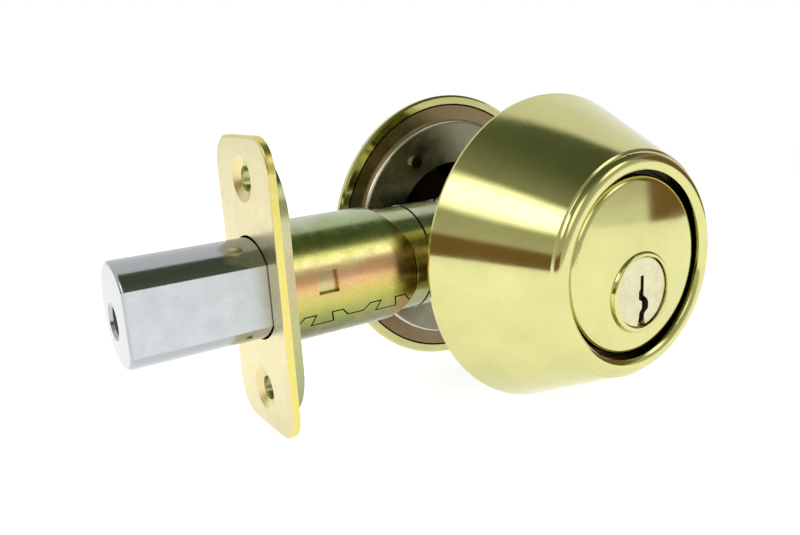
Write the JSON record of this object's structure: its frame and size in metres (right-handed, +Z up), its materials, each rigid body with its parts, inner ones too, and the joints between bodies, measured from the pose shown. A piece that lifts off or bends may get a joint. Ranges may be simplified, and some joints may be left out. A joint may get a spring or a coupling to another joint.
{
  "type": "deadbolt door lock",
  "caption": "Single cylinder deadbolt for a door: keyed cylinder in a tapered spinning collar outside, thumbturn on a round rose inside, tubular latch with a thrown bolt between them.",
  "frame": {"origin": "centre of the faceplate's front face, on the bolt's axis", "axes": "-X the way the bolt is thrown, -Y the keyed outdoor side, +Z up"},
  "size_m": [0.1181, 0.0892, 0.0648],
  "materials": {
    "polished_brass": "polished and lacquered",
    "satin_brass": "satin plated",
    "nickel_brass": "brushed",
    "yellow_zinc": "yellow dichromate zinc plate",
    "zinc_steel": "bright zinc plate",
    "hardened_steel": "hardened, ground"
  },
  "bodies": {
    "lock_body": {"faceplate": "satin_brass", "backplate": "yellow_zinc", "latch_tube": "yellow_zinc", "inner_sleeve": "yellow_zinc", "cam_case_exterior": "yellow_zinc", "cam_case_interior": "yellow_zinc", "case_rivets": "zinc_steel", "detent_spring": "hardened_steel", "cylinder_housing": "polished_brass", "driver_pins": "nickel_brass", "pin_springs": "hardened_steel", "chamber_cover": "polished_brass", "interior_rose": "polished_brass", "mounting_plate": "yellow_zinc", "mounting_screws": "yellow_zinc", "rose_screws": "polished_brass", "spring_washer": "hardened_steel"},
    "bolt_unit": {"bolt": "zinc_steel", "saw_guard_pin": "hardened_steel", "bar_pin": "zinc_steel", "drive_bar": "zinc_steel", "drive_pin": "hardened_steel"},
    "turn_unit": {"thumbturn": "polished_brass", "thumbturn_clip": "hardened_steel", "tailpiece": "zinc_steel", "cam": "zinc_steel"},
    "plug_unit": {"key_plug": "nickel_brass", "key_pins": "nickel_brass", "plug_cap": "zinc_steel"},
    "collar": {"cylinder_collar": "polished_brass"}
  },
  "joints": [
    {"name": "thumbturn_turn", "type": "hinge", "parent": "lock_body", "child": "turn_unit", "pos_m": [0.0603, 0, -0.0048], "axis": [0, 1, 0], "range_deg": [0, 90]},
    {"name": "bolt_throw", "type": "slide", "parent": "lock_body", "child": "bolt_unit", "axis": [1, 0, 0], "range_m": [0, 0.0254]},
    {"name": "plug_turn", "type": "hinge", "parent": "lock_body", "child": "plug_unit", "pos_m": [0.0603, 0, -0.0048], "axis": [0, 1, 0], "range_deg": [0, 90]},
    {"name": "collar_spin", "type": "hinge", "parent": "lock_body", "child": "collar", "pos_m": [0.0603, 0, 0], "axis": [0, 1, 0], "continuous": true}
  ],
  "couplings": [
    {"joint": "bolt_throw", "follows": "thumbturn_turn", "m_per_rad": 0.01617},
    {"joint": "plug_turn", "follows": "thumbturn_turn", "ratio": 1}
  ]
}
